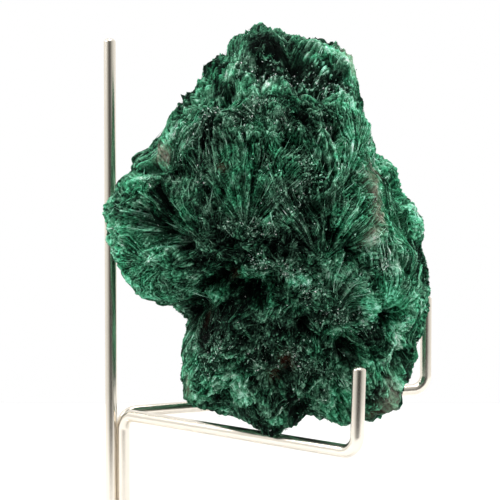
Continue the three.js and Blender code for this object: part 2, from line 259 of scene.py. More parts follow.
def clear_of_wires(points):
    """Moves points sideways off the upright wires, and up off the arms, by WIRE_ROOM."""
    room = WIRE_RADIUS + WIRE_ROOM
    points = points.copy()
    for x, y, low, high in UPRIGHTS:
        away = points[:, :2] - (x, y)
        distance = np.hypot(*away.T)
        near = (distance < room) & (points[:, 2] > low) & (points[:, 2] < high)
        points[near, :2] = (x, y) + away[near] * (room / distance[near])[:, None]
    for leg, arm in ARMS:
        run = np.hypot(*arm["run"])
        out = arm["run"] / run
        from_leg = points[:, :2] - ROD - leg
        along = from_leg @ out
        aside = np.abs(from_leg @ np.array([out[1], -out[0]]))
        top = np.sqrt(np.maximum(room**2 - aside**2, 0)) + ARM_HEIGHT + arm["rise"] * along / run
        over = (aside < room) & (along > -PAST_THE_ENDS) & (along < run + PAST_THE_ENDS)
        points[:, 2] = np.where(over, np.maximum(points[:, 2], top), points[:, 2])
    return points


plain_form = body(some_ways) + STONE_CENTRE
print("points moved:", int((clear_of_wires(plain_form) != plain_form).any(1).sum()), "of", len(plain_form))

# %% [markdown]
# ## Turning arrays into a mesh
#
# Blender takes whole arrays of corners and faces with `foreach_set`, which is far quicker than
# adding them one by one. Values that belong to a point, such as how pale a needle is, go into
# the mesh as named attributes, and the material reads them from there.

# %% Mesh helper
def mesh_piece(name, points_mm, faces, attributes=None, smooth=False):
    """A mesh object from points in millimetres and faces that all have the same number of sides."""
    sides = faces.shape[1]
    mesh = bpy.data.meshes.new(name)
    mesh.vertices.add(len(points_mm))
    mesh.vertices.foreach_set("co", (points_mm * MM).astype(np.float32).ravel())
    mesh.loops.add(faces.size)
    mesh.loops.foreach_set("vertex_index", faces.astype(np.int32).ravel())
    mesh.polygons.add(len(faces))
    mesh.polygons.foreach_set("loop_start", np.arange(0, faces.size, sides, dtype=np.int32))
    mesh.polygons.foreach_set("use_smooth", np.full(len(faces), smooth))
    for key, values in (attributes or {}).items():
        layer = mesh.attributes.new(key, "FLOAT", "POINT")
        layer.data.foreach_set("value", values.astype(np.float32))
    mesh.update()
    mesh.validate()
    piece = bpy.data.objects.new(name, mesh)
    bpy.context.scene.collection.objects.link(piece)
    print(name, len(points_mm), "points", len(faces), "faces")
    return piece


def two_triangles(a, b, c, e):
    """The triangles a, b, c, and then the triangles a, c, e, for the four-sided faces of a grid."""
    return np.concatenate([np.stack(corners, -1).reshape(-1, 3) for corners in ((a, b, c), (a, c, e))])


print("one unit in the helpers is", MM, "metres")

# %% [markdown]
# ## Where the colour changes: stains, and painted light and shade
#
# Malachite is green right through, but this stone has stains. Two kinds are painted light and
# shade as well: one paints shade into the hollows, and one paints lighter and darker zones,
# partly the stone's own tone and partly painted light and shade. Each is a place on it with a
# reach and a strength, listed under its kind. Every point of every piece gets a value for each
# kind, and the materials mix their colours by those values, so a stain runs unbroken from the
# crust into the needles. Where two spots of a kind overlap, each takes its share of what the
# other has left, so the value never passes 1 by adding up. The kind called clear keeps part of a
# dark hollow green, free of its painted shade.

# %% Stains
STAINS_AND_PAINTED_LIGHT = {
    # hollows, slits and gaps: the relief carves them, and a painted shade makes them almost black
    "painted_hollow_shade": [
        (22, -18.2, -23.8, 1.5, 1), (12.1, -25, -22.3, 1.5, 0.9), (-8.8, -27.6, -11.7, 1.8, 0.6),
        (-5, -28.1, -12.6, 1.4, 0.5), (6.6, -27.9, 8, 1.7, 0.7), (-4, -16, 36, 3.6, 1),
        (2, -15, 37, 4.2, 1), (7, -15, 35.5, 4, 1), (1, -12, 37.5, 3.4, 0.9), (10, -13, 34.6, 3.4, 1),
        (12, -14, 32.5, 2.6, 0.9), (5, -17, 33.5, 3, 1), (-15.2, -26, -6.7, 1.5, 1),
        (-17.7, -24, -8.6, 1.5, 1), (-11.5, -26.5, -9, 1.4, 1), (-8.5, -27.3, -10.5, 2, 1),
        (-5.8, -28, -12, 1.5, 0.9), (-19.3, -10, -15, 3.6, 1), (-20.5, -18, -14, 2.4, 0.8),
        (-26.5, -22, 5, 2.4, 1), (-23.5, -24.5, 2.6, 2.6, 1), (-19.8, -26, 0.2, 2, 0.9),
        (-26.5, -15, 14.5, 2, 0.9), (-11.8, -16.5, 30.4, 1.8, 0.9), (-14.5, -16, 27, 1.3, 0.7),
        (2.2, -18.6, -31, 2.2, 0.9), (12, -25.3, -21.6, 1.7, 1), (23.5, -15.6, -22.3, 1.4, 1),
        (-3.9, -25.6, -21.2, 1.6, 0.8), (24.5, -14, 4, 1.3, 0.9), (3, -28, -16, 1.6, 0.8),
        (-8, -25, -17, 1.4, 0.7), (19, -24, -14, 2, 0.7), (-0.6, -27.3, 18.8, 1.8, 0.5),
        (9, -22, 21, 3, 0.7), (3.7, -28.6, 8, 1.7, 0.6), (7.8, -28.5, 2, 1.2, 0.8),
        (7.2, -28, -13.3, 1.6, 0.6), (13.6, -26.5, -13, 1.4, 0.6), (11.3, -27.7, -0.6, 0.9, 0.9),
        (4.6, -28.6, 6.6, 1.4, 0.8), (0, -26, -25, 2, 0.7), (-6, 26, -3, 4, 0.8), (16, 20, 12, 4, 0.7),
        (-28, 8, -4, 3.5, 0.7),
    ],
    # parts of a hollow that are carved less and kept free of its painted shade, so they stay green
    "clear": [
        (2.3, -28.7, -7.8, 1.6, 1), (-14.3, -23.6, -10.4, 1.9, 1), (-16, -22, -11.5, 1.5, 0.9),
        (-7.5, -27, -13.5, 1.3, 0.8), (-12.5, -27, -5.5, 1.2, 0.6), (-5.5, -28.6, -3.5, 1.6, 1),
    ],
    # where small pale crystals gather
    "frost": [
        (-16, -21, 22, 2.4, 0.7), (-11, -24, 24, 2.6, 0.8), (-6, -25, 24.5, 2.4, 0.8),
        (0, -27, 22.5, 2.6, 0.6), (-4, -16, 36, 3, 0.5), (1, -15.5, 37, 3, 0.6), (6, -16, 36, 3, 0.6),
        (11, -16, 32, 3, 0.6), (-6, -22, 30, 2.2, 0.5), (-11, -29, 3, 1.6, 0.8), (-7, -30, 3, 1.6, 0.9),
        (-3, -30, 3, 1.6, 0.7), (1, -29, 8, 2.4, 0.6), (-5, -29, 14, 2, 0.5), (4, -28, 12, 2.4, 0.5),
        (-6, -28, -3.5, 2, 0.8), (0, -28, -5, 2.2, 0.8), (4, -29, -9, 2.6, 0.8), (9, -27, -13, 3, 0.7),
        (14, -25, -14, 2.6, 0.5), (-12, -24, -17, 3.5, 0.7), (-15, -22, -22, 3, 0.7),
        (-5, -25, -20, 3, 0.6), (1, -26, -20, 2.6, 0.8), (5, -26, -24, 3, 0.5), (9, -24, -27, 3, 0.5),
        (-26, -17, 12, 2.2, 0.6), (-20, -20, 16, 2, 0.5), (-15, -26, 12, 1.8, 0.5), (-22, -21, -1, 2, 0.5),
        (20, -19, -16, 3, 0.5), (15, -24, 8, 2, 0.5), (16, -24, -2, 2.4, 0.5), (-7, -16, 36, 3, 0.5),
        (-2, -20, -33, 4, 0.3), (6, 24, 16, 4, 0.6), (-10, 24, 8, 4, 0.5), (12, 22, -14, 4, 0.5),
        (27, 2, 6, 3, 0.6), (26, 2, -18, 3, 0.6), (-26, 10, 10, 4, 0.5),
    ],
    # brown-red specks
    "rust": [
        (-11.7, -28, 14, 0.7, 1), (-12, -27, -7, 1.1, 0.9), (-16, -20, -15, 1.2, 0.8),
        (-0.4, -25.9, -20.9, 1.2, 1), (0.1, -25.3, -22.3, 1.1, 1), (-3, -26, -25.5, 1, 0.8),
        (-18, -16, -27, 2, 0.5), (17, -17, -32, 2.4, 0.8), (-14, 22, -12, 2, 0.7), (9, 25, 16, 1.6, 0.7),
    ],
    # the grey-pink vein, and a few patches like it
    "clay": [
        (-24.6, -13.4, 17.6, 1.5, 1), (16.4, -17.5, 14, 1.5, 0.8), (15.5, -21.7, 11.9, 1.6, 1),
        (15.8, -23.1, 9.6, 1.6, 0.9), (16.7, -22.8, 7.5, 1.4, 0.7), (16.6, -24.3, 5.4, 1.7, 1),
        (15.8, -25.8, 2.6, 1.4, 0.6), (14.9, -26.3, 1, 1.3, 0.6), (-17.5, -16, -25, 1.2, 0.5),
        (13.4, -4, 36.5, 3.2, 0.55), (20, -19, -30, 2.6, 0.4), (2, 28, 12, 2, 0.6), (-20, 18, 4, 2, 0.5),
    ],
    # lighter zones, partly the stone's own tone and partly painted light, as on the right flank; a
    # negative strength makes a zone darker, partly a painted shade, as on the crest and underneath
    "tone_and_painted_light": [
        (12.4, -22.7, 17.5, 4, 0.6), (21, -18, 1, 4.5, 0.6), (5, -25, 26, 3, 0.5), (12, -18, 28.5, 3, 0.9),
        (24, -14, -13, 5, 0.7), (-28, -16, 2, 5, 0.7), (-27, -20, -6, 7, 1), (-29.5, -16, 11.5, 4, 0.9),
        (-5.5, -28.6, -3.5, 1.3, 1.1), (2.3, -28.7, -7.8, 1.5, 1.5), (0.8, -28.7, -8.4, 1, 1),
        (3.7, -28.8, -7.5, 1.2, 1.2), (-15, -23, -11, 1.8, 1.4), (-7, -27.5, -6.5, 2.4, 0.9),
        (-5, -28.2, -12, 1.5, 0.7), (-6.7, -27.5, 14.8, 3.4, 0.5), (-2, -27.5, 17, 2.4, 0.6),
        (14, -17, 26, 4, 0.6), (17.5, -24, -9.5, 4, 1.9), (20, -22, -16, 4, 0.8), (11, -27, 5.1, 3.6, 1.1),
        (13.4, -25, 8.1, 3, 0.9), (22, -10, 10.3, 5, 1.3), (15.5, -18, 19.5, 3, 0.6),
        (24.6, -13, 5.5, 4.5, 1.5), (-13.7, -24.4, -9.8, 2, 1.4), (11, -20.8, -28.2, 3, 1.9),
        (-18.4, -16.4, -26.1, 4, 0.9), (-18.5, -17.5, -22.3, 2.6, 0.5), (24.5, -12, -21, 3, 1.4),
        (11.5, -26.5, -18, 2.6, 0.9), (15.5, -24, -21, 2.6, 0.8), (-15.8, -6.5, 32.6, 3, 0.8),
        (27, -3, -22, 7, 0.5), (28, -2, -8, 7, 0.7), (25.9, 0.6, -24.7, 3.5, 1.8), (20, -4, 16, 6, 0.8),
        (18, -22.5, 5.5, 3.2, 1.5), (16, -5, 27, 6, 0.7), (12, -6, 37, 5, 0.8), (-30, -8, -10, 6, 0.4),
        (-35, -4, 4, 6, 0.5), (-22, -14, 22, 5, 0.2), (14, 24, 2, 6, 0.35), (-12, 22, 18, 6, 0.3),
        (14.7, -26.3, 2.6, 3.6, 0.8), (17.9, -20.6, 9.8, 3, 0.6), (15, -26, -1.6, 3, 0.5),
        (-26, -21, -5, 6, 0.4), (-6.9, -28.3, 8.5, 3, 0.4), (3, -28.7, 9, 2, 0.5),
        (-14.4, -24.5, 15.7, 4, -0.9), (-13.5, -23, 20, 3, -0.5), (-13.3, -28, 2.7, 4.5, -0.9),
        (-17.4, -26, 8.7, 3.5, -0.6), (1, -29, 3, 4.5, -1.2), (-11.7, -28.3, -0.5, 2.6, -0.8),
        (-3.5, -29, -1.5, 3, -0.3), (3, -29, -1, 3, -0.7), (-21.4, -24, 9.5, 2.4, -0.8),
        (15.5, -25, -17, 3, -0.5), (-0.6, -28.8, 8, 3.2, -0.8), (-7.6, -24.7, 23, 3.2, -0.8),
        (-4.4, -22.6, 29, 3, -0.7), (5.2, -24.4, 24, 3, -0.9), (-4, -11, 39.3, 3.5, -0.9),
        (0.5, -11, 39.5, 3, -0.8), (-8, -15, 36.5, 3, -0.7), (-18, -25, -2, 3.5, -0.8),
        (-17.5, -20, -17, 3, -0.7), (-21, -22, 14.5, 2.6, -0.7), (-13.4, -24.6, -15.1, 4, -1),
        (-0.5, -27.5, -16, 5, -0.8), (-0.3, -24, -25, 5, -0.8), (10.3, -27.8, -11, 4, -0.7),
        (-6, -26, -19, 4, -0.5), (-23.5, -24, 2.5, 3, -0.5), (-4, 6, -38, 16, -1.2),
        (-0.1, -3.2, 41.2, 3.2, -0.7), (-3.6, -10, 39.8, 3, -0.5), (2.9, -25.3, 23.2, 2.6, -0.8),
        (7.3, -22.6, 27, 2.6, -0.6), (-16.7, -20.9, -16.7, 3, -0.5), (-11.8, -25.9, -13.7, 2.4, -0.3),
        (-19.7, -3.6, -15.7, 3, -0.7), (-10.5, -26.7, -15.9, 2.6, -0.2), (10.7, -23.9, -24.3, 2.4, -0.5),
        (16.9, -25.3, -1.6, 2.6, -0.9), (-15.8, -6.5, 32.6, 2.6, 0.6), (-3.6, -14.2, 37.2, 2, 0.7),
        (12.2, -11.8, 34.3, 2.4, 0.5), (-0.6, -28.9, 5.3, 2.4, 0.6), (-18.6, -26.4, 5.3, 2.4, 0.9),
        (-28.1, -19.5, -2, 3.6, 0.8), (-5, -28.1, -12.3, 1.6, 0.7), (-10.6, -26.9, -7.2, 2, 0.8),
    ],
}


def stains_and_painted_light(q):
    """For each kind of stain or of painted light and shade, one less the product of (1 - strength
    exp(-(distance/reach)^2)).

    The distances are measured on the rounded body, so a stain or a painted shade fills a hollow to its
    floor.
    """
    values = {}
    for kind, spots in STAINS_AND_PAINTED_LIGHT.items():
        clear = np.ones(len(q))
        for *at, reach, strength in spots:
            spot = body(unit(np.array([at], float)))[0]
            clear *= 1 - strength * np.exp(-((q - spot) ** 2).sum(1) / reach**2)
        values[kind] = 1 - clear
    # The clear spots take the painted shade, and some of the carving, out of parts of the hollows.
    values["painted_hollow_shade"] *= 1 - values.pop("clear")
    return values


for kind, value in stains_and_painted_light(body(some_ways)).items():
    print(kind, "from", value.min().round(2), "to", value.max().round(2))

# %% [markdown]
# ## Helpers for materials
#
# A node material is a tree of small steps. Each of these helpers adds one step and gives back
# its output, so a material reads like the sum that it works out.

# %% Material helpers
def new_material(name):
    """A material with nodes, its tree and its shader."""
    material = bpy.data.materials.new(name)
    material.use_nodes = True
    return material, material.node_tree, material.node_tree.nodes["Principled BSDF"]


def add_node(tree, kind, **inputs):
    """A node with its inputs set by name, with spaces written as underscores."""
    node = tree.nodes.new(kind)
    for key, value in inputs.items():
        node.inputs[key.replace("_", " ")].default_value = value
    return node


def read_value(tree, name):
    """The output of a node that reads one named attribute of the mesh."""
    node = tree.nodes.new("ShaderNodeAttribute")
    node.attribute_name = name
    return node.outputs["Fac"]


def noise_value(tree, place, **inputs):
    """The output of a noise texture, from 0 to 1, read at each place of the object."""
    node = add_node(tree, "ShaderNodeTexNoise", **inputs)
    tree.links.new(place, node.inputs["Vector"])
    return node.outputs["Fac"]


def ramp(tree, factor, stops):
    """A colour ramp from a list of (position, colour)."""
    node = tree.nodes.new("ShaderNodeValToRGB")
    node.color_ramp.elements.remove(node.color_ramp.elements[1])
    node.color_ramp.elements[0].position = stops[0][0]
    node.color_ramp.elements[0].color = (*stops[0][1], 1)
    for position, colour in stops[1:]:
        node.color_ramp.elements.new(position).color = (*colour, 1)
    tree.links.new(factor, node.inputs["Fac"])
    return node.outputs["Color"]


def mix(tree, factor, under, over):
    """Mixes two colours, each a socket or a constant, by a factor socket."""
    node = tree.nodes.new("ShaderNodeMix")
    node.data_type = "RGBA"
    tree.links.new(factor, node.inputs[0])
    for slot_number, colour in ((6, under), (7, over)):
        if isinstance(colour, tuple):
            node.inputs[slot_number].default_value = (*colour, 1)
        else:
            tree.links.new(colour, node.inputs[slot_number])
    return node.outputs[2]


def maths(tree, operation, *operands):
    """One arithmetic node; each operand is a socket or a number."""
    node = tree.nodes.new("ShaderNodeMath")
    node.operation = operation
    for i, value in enumerate(operands):
        if isinstance(value, (int, float)):
            node.inputs[i].default_value = value
        else:
            tree.links.new(value, node.inputs[i])
    return node.outputs[0]


def weighted_sum(tree, start, *pairs):
    """start plus each value times its weight, added in this order."""
    for value, weight in pairs:
        start = maths(tree, "MULTIPLY_ADD", value, weight, start)
    return start


print("materials so far, all from the CAD pieces:", len(bpy.data.materials))

# %% [markdown]
# ## The malachite material
#
# The silky look comes from thousands of facets that each catch the light a little differently,
# so the material has little gloss of its own. It works out a tone between almost black and pale
# green: the blade's or needle's own tone, with the painted light and shade that the relief gives
# it, lighter at a needle's tip as a painted shade towards its root, with two sizes of noise, the
# pale zones with their painted light and shade, and fine painted glints that are brighter in the
# frost. Two ramps turn the tone into a vivid and a greyer green, and a noise of middle size mixes
# the two, because the stone drifts from one to the other. Clay and rust go over the green by the
# stains' values, and near-black by the painted shade of the hollows.

# %% Malachite material
# A place on the scale of tones, and its colour.
GREENS = [
    (0.0, (0.0009, 0.0030, 0.0019)),
    (0.22, (0.0085, 0.0360, 0.0200)),
    (0.42, (0.0430, 0.1650, 0.0900)),
    (0.62, (0.1500, 0.4400, 0.2700)),
    (0.80, (0.3600, 0.7200, 0.5400)),
    (1.0, (0.7200, 0.9200, 0.8300)),
]
# What the two greens make of that colour's red, green and blue.
VIVID, GREY = (0.60, 1.03, 0.92), (1.50, 0.97, 1.14)
CLAY, RUST, HOLLOW_SHADE_BLACK = (0.46, 0.40, 0.335), (0.050, 0.011, 0.006), (0.0012, 0.0025, 0.002)
BROAD_NOISE, FINE_NOISE, PALE_LIFT, FACET_SPREAD, TONE_SINK = 0.9, 0.6, 0.25, 0.2, 0.84
GLINT_POWER, GLINT_IN_FROST, GLINT_ANYWHERE = 7.0, 0.6, 0.05
GREY_DRIFT, GREY_START, GREY_IN_FROST, GREY_IN_PALE = 3.2, -1.1, 0.5, -0.35


def malachite_material(name, roughness, tip, specular):
    """Green by tone, stains and the hollows' painted shade over it, and a roughness that varies with fine
    noise.
    """
    material, tree, shader = new_material(name)
    place = tree.nodes.new("ShaderNodeTexCoord").outputs["Object"]
    broad = noise_value(tree, place, Scale=130.0, Detail=4.0, Roughness=0.65)
    fine = noise_value(tree, place, Scale=1300.0, Detail=3.0, Roughness=0.7)
    drift = noise_value(tree, place, Scale=330.0, Detail=4.0, Roughness=0.7)
    # Painted glints: a few tiny cells are made much lighter, more of them where the frost is.
    glint_cells = add_node(tree, "ShaderNodeTexVoronoi", Scale=3200.0)
    tree.links.new(place, glint_cells.inputs["Vector"])
    chance = tree.nodes.new("ShaderNodeSeparateColor")
    tree.links.new(glint_cells.outputs["Color"], chance.inputs[0])
    painted_glint = maths(tree, "POWER", chance.outputs[0], GLINT_POWER)
    frost, tone_and_painted_light = read_value(tree, "frost"), read_value(tree, "tone_and_painted_light")
    glint_strength = maths(tree, "MULTIPLY_ADD", frost, GLINT_IN_FROST, GLINT_ANYWHERE)

    # The tip weight makes a needle lighter towards its tip, a painted shade towards its root.
    tone = weighted_sum(
        tree, 0.0, (read_value(tree, "tip"), tip), (read_value(tree, "tone"), 1.0),
        (broad, BROAD_NOISE), (fine, FINE_NOISE), (tone_and_painted_light, PALE_LIFT), (painted_glint, glint_strength),
        (chance.outputs[1], FACET_SPREAD),
    )
    tone = maths(tree, "SUBTRACT", tone, TONE_SINK)

    vivid, grey = (
        ramp(tree, tone, [
            (at, tuple(min(part * change, 1) for part, change in zip(colour, shift)))
            for at, colour in GREENS
        ])
        for shift in (VIVID, GREY)
    )
    greyness = weighted_sum(
        tree, GREY_START, (drift, GREY_DRIFT), (frost, GREY_IN_FROST), (tone_and_painted_light, GREY_IN_PALE)
    )
    greyness.node.use_clamp = True
    colour = mix(tree, greyness, vivid, grey)

    patchy = maths(tree, "MULTIPLY_ADD", fine, 2.4, -0.5)
    for kind, stain in (("clay", CLAY), ("rust", RUST)):
        colour = mix(tree, maths(tree, "MULTIPLY", patchy, read_value(tree, kind)), colour, stain)
    # Painted shade: the hollows' value mixes the colour towards near-black, unevenly by the fine noise.
    shade = maths(tree, "MULTIPLY_ADD", patchy, 0.6, 0.45)
    shade = maths(tree, "MULTIPLY", shade, read_value(tree, "painted_hollow_shade"))
    tree.links.new(mix(tree, shade, colour, HOLLOW_SHADE_BLACK), shader.inputs["Base Color"])

    unevenness = maths(tree, "SUBTRACT", fine, 0.5)
    tree.links.new(maths(tree, "MULTIPLY_ADD", unevenness, 0.5, roughness), shader.inputs["Roughness"])
    shader.inputs["Specular IOR Level"].default_value = specular
    return material


needle_material = malachite_material("malachite_needles", roughness=0.4, tip=0.12, specular=0.04)
crust_material = malachite_material("malachite_crust", roughness=0.7, tip=0.0, specular=0.02)
print("materials:", [m.name for m in bpy.data.materials])

# %% [markdown]
# ## Scattered cells and noise
#
# Two tools give the stone its irregular texture. The first divides space into cells round
# scattered points, which makes rounded clumps with creases between them. The second is smooth
# noise that can be stretched, which makes fibres when it is stretched along them.

# %% Cells and noise
def hashed(i, j, k, seed):
    """A number from 0 to 1 that depends only on three whole numbers and a seed."""
    h = (i * 374761393 + j * 668265263 + k * 1103515245 + seed * 1442695041) & 0xFFFFFFFF
    h = ((h ^ (h >> 13)) * 1274126177) & 0xFFFFFFFF
    h = ((h ^ (h >> 16)) * 2246822519) & 0xFFFFFFFF
    return ((h ^ (h >> 15)) & 0xFFFFFF) / 0xFFFFFF


def cells(q, size, seed):
    """The nearest two of a set of points, one in each cube of a grid of this size.

    Gives the distances to both, the way from the nearest, and a number of the nearest's own.
    """
    base = np.floor(q / size).astype(np.int64)
    first, second = np.full(len(q), 1e9), np.full(len(q), 1e9)
    away, own = np.zeros_like(q), np.zeros(len(q))
    for step in itertools.product((-1, 0, 1), repeat=3):
        cube = base + step
        point = (cube + np.stack([hashed(*cube.T, seed + n) for n in range(3)], 1)) * size
        offset = q - point
        distance = np.linalg.norm(offset, axis=1)
        nearer = distance < first
        second = np.where(nearer, first, np.minimum(second, distance))
        first = np.where(nearer, distance, first)
        away[nearer] = offset[nearer]
        own[nearer] = hashed(*cube[nearer].T, seed + 3)
    return first, second, away, own


def noise(u, v, seed):
    """Smooth noise of two coordinates, from 0 to 1, with one bump per unit of each."""
    i, j = np.floor(u).astype(np.int64), np.floor(v).astype(np.int64)
    a, b = u - i, v - j
    a, b = a * a * (3 - 2 * a), b * b * (3 - 2 * b)
    seed = np.broadcast_to(seed, i.shape)
    low = hashed(i, j, seed, 1) * (1 - a) + hashed(i + 1, j, seed, 1) * a
    high = hashed(i, j + 1, seed, 1) * (1 - a) + hashed(i + 1, j + 1, seed, 1) * a
    return low * (1 - b) + high * b


def ease(x, low, high):
    """0 below low, 1 above high, and a smooth rise between."""
    t = np.clip((x - low) / (high - low), 0, 1)
    return t * t * (3 - 2 * t)


print("a few values of the noise:", noise(np.arange(4) * 0.4, np.zeros(4), 5).round(3))

# %% [markdown]
# ## The large fans
#
# The photograph shows some twenty large fans on the front. Each grows from an apex low down,
# its blades of fibres spread upwards, and it gets thicker outwards until it breaks off at a
# ragged rim, like a scallop's shell. They are listed: apex, the way the fan opens, its reach,
# its half angle and how finely it is cut into blades. A few more carry the growth round the
# back. The blades are cut finer twice on the way out, as new ones grow in between.

# %% Large fans
LARGE_FANS = [
    ([-8, -29, 3], [0.05, 0, 1], 17, 1.0, 34), ([-15.6, -28, 0.5], [-0.75, 0, 0.75], 17, 0.9, 30),
    ([-12, -28, 2], [-0.3, 0, 1], 18, 0.5, 18), ([1, -30, 2], [0.25, 0, 1], 14, 0.8, 24),
    ([6.5, -29.6, -3.4], [0.2, 0, 1], 14, 0.9, 24), ([9, -28, 8], [0.1, 0, 1], 12, 0.7, 20),
    ([-3.5, -26, 20], [-0.2, 0, 1], 8, 1.1, 22), ([12, -22, 15], [0.25, 0, 1], 14, 0.6, 22),
    ([-30, -14, 4], [0.6, 0, 1], 24, 0.45, 24), ([-33, -8, 4], [0.55, 0.15, 0.9], 26, 0.4, 22),
    ([-20, -20, 16], [0.5, 0, 1], 16, 0.5, 20), ([-25, -23, -3], [-0.9, 0, -0.1], 10, 1.2, 24),
    ([-29, -18, 6], [-0.5, 0, 0.6], 9, 1.2, 22), ([-22, -22, -4], [-0.6, 0, -0.8], 8, 1.0, 20),
    ([17, -24, -14], [0.5, 0, 1], 15, 0.8, 28), ([23, -16, -6], [0.3, 0, 1], 13, 0.8, 24),
    ([24, -14, -22], [0.3, 0, 1], 12, 0.8, 22), ([19, -20, 2], [0.2, 0, 1], 14, 0.7, 22),
    ([-15, -24, -20], [-0.9, 0, 0.2], 8, 1.2, 22), ([8, -27, -12], [0.7, 0, 0.6], 9, 1.0, 22),
    ([-4, 27, 6], [-0.3, 0, 1], 18, 1.0, 34), ([14, 22, -12], [0.3, 0, 1], 16, 1.0, 30),
    ([-18, 20, -4], [-0.6, 0, 0.7], 14, 1.0, 26), ([26, 4, 2], [0, 0.4, 1], 16, 0.9, 28),
    ([27, 0, -16], [0, -0.3, 1], 15, 0.9, 28), ([-30, 6, 0], [0.1, 0.4, 1], 15, 0.9, 26),
    ([2, 20, 26], [0, 0, 1], 12, 1.0, 24), ([-18, 6, 24], [0.3, 0.2, 1], 14, 0.8, 24),
]
RIM_THICKNESS, RIM_MOST, RIM_BREAK = 0.09, 1.0, 0.4
BLADE_SHARE, BLADE_BEND, FINER_FROM = 0.55, 0.22, (0.3, 0.62)
BLADE_TILT, BLADE_GROOVE, GROOVE_WIDTH = 0.5, 0.25, 0.13
SPLIT_DEPTH, SPLIT_WIDTH, SPLIT_CHANCE = 0.9, 0.32, 0.34
SHORTEST_BLADE, BLADE_LENGTHS = 0.78, 0.26


def fan_field(q):
    """The highest fan at each point: its height, how light it is, its fibres' way, and rim share.

    The angle round the apex is cut into blades. Each blade has a number of its own for its tone,
    tilt and length, a groove along both sides, and some have a split that widens to the rim. The
    grooves and splits are cut in and also painted darker, a painted shade.
    """
    height, light, share = np.zeros(len(q)), np.full(len(q), 0.3), np.zeros(len(q))
    way = np.zeros_like(q)
    for n, (apex, opens, reach, spread, blades) in enumerate(LARGE_FANS):
        normal, along, across = fan_axes(apex, opens)
        away = q - body(normal[None])[0]
        distance = np.linalg.norm(away, axis=1)
        i = np.flatnonzero(distance < reach * 1.3)
        away, s = away[i], distance[i]
        turn = np.arctan2(away @ across, away @ along)
        bend = BLADE_BEND * (noise(turn * 2.5, s * 0.15, n * 7 + 1) - 0.5)
        step = (1 + (s > FINER_FROM[0] * reach) + (s > FINER_FROM[1] * reach)).astype(np.int64)
        u = (turn + bend) * blades * BLADE_SHARE * step
        blade = np.floor(u).astype(np.int64)
        t = u - blade
        own, tilt, end, gap = (hashed(blade, step, blade * 0 + n, k) for k in (1, 2, 3, 4))
        edge = reach * (SHORTEST_BLADE + BLADE_LENGTHS * end)
        part = np.clip(s / edge, 0, 1)
        beside = np.minimum(t, 1 - t)
        groove = np.exp(-((beside / GROOVE_WIDTH) ** 2))
        opening = SPLIT_WIDTH * ease(part, 0.35, 0.95) * (gap < SPLIT_CHANCE)
        split = 1 - ease(t, opening * 0.6, opening + 0.04)
        split *= opening > 0.02
        fibre = noise(u * 3.3, s * 0.3, n * 7 + 3)
        limit = spread * (0.8 + 0.4 * noise(s * 0.5, 0 * s, n * 7 + 5))
        h = min(RIM_THICKNESS * reach, RIM_MOST) * (0.4 + 0.6 * part**1.3) * (0.7 + 0.6 * end)
        h += 0.12 + BLADE_TILT * (tilt - 0.5) * (t - 0.5) + 0.1 * fibre
        h -= BLADE_GROOVE * groove + SPLIT_DEPTH * split
        h *= 1 - ease(s, edge, edge + RIM_BREAK)
        h *= 1 - ease(np.abs(turn), limit * 0.88, limit)
        # The blade's own tone and fibres, with a painted shade in its grooves and split.
        blade_tone_and_shade = 0.55 * own + 0.3 * fibre - 0.35 * groove - 0.8 * split
        top = h > np.maximum(height[i], 0.08)
        j = i[top]
        height[j], light[j], share[j] = h[top], blade_tone_and_shade[top], part[top]
        way[j] = unit(away[top])
    return height, light, share, way


print(len(LARGE_FANS), "large fans")

# %% [markdown]
# ## The relief
#
# Between the large fans the stone is a patchwork of clumps. Each is a small rosette of blades
# that spread from its own middle, and over them lie grains and finer crystals. In the hollows
# there are more pits, and pale nodules high up. The relief gives, for every point, how far it
# stands out, how light it is, with painted light and shade on its bumps, grooves and pits, which
# way its fibres run and how much painted shade lies in its hollows. The crust and the needles
# both use it, so the needles lie along the blades that they grow on. Lumps at the edge of the
# stone bring its silhouette nearer to the photograph's.

# %% Relief
# The sizes of the cells, in millimetres.
CLUMP, GRAIN, CRYSTAL, PATCH, PIT = 4.6, 1.7, 0.75, 7.0, 2.4
CLUMP_HEIGHT, GRAIN_HEIGHT, CRYSTAL_HEIGHT = 1.1, 0.42, 0.16
CRUST_SINK, PIT_DEPTH, HOLLOW_DEPTH = 1.15, 2.2, 3.0
# Like LUMPS: place, reach, rise.
EDGE_LUMPS = [
    (-18.5, -7, 28.5, 3.2, 2.6), (-18.5, 1, 28.5, 3.2, 2.2), (-27, -6, 18, 2.6, 1.8), (-27, 1, 18, 3, 1.8),
    (-2, -6, 43, 2.6, 1), (4.8, -6, 40.5, 2.6, 1), (-9.2, -6, 41.5, 2.6, 0.8), (15.5, -4, 28, 2.4, 1),
    (16.2, -4, 24.5, 2.2, 1), (18.2, -5, 17.6, 2.6, 1.6), (21, -4, 14.5, 2.4, 1), (23, -4, 11, 2.2, 0.8),
    (28, -3, -4.4, 2.6, -0.9), (28, -3, 2.4, 2.4, -0.4), (-19.8, -8, -14.2, 2.4, 2.6),
    (-19.8, 0, -14.2, 2.8, 2.6), (25.5, -4, -25, 2, 0.8), (24, -4, -29.5, 2, 0.8), (6, -16, -35, 2.4, 1.6),
    (10, -14, -36, 2.4, 1.4), (-7, -14, -36, 2.4, 1), (4, -22, 30, 5, 3.5), (10.5, -20, 29, 3.6, 2.4),
    (-8, -28, -5.6, 2.8, 4.5), (-14.3, -23.6, -10.6, 1.5, 2.6), (-5.5, -28.6, -3.5, 2, 1.5),
    (-11, -26.5, -9.8, 2.6, -2), (-17, -24, -7.6, 2.2, -1.6), (-21.5, -2, 24.5, 2.4, -0.8),
    (-30, -2, 14, 2.4, -0.6),
]


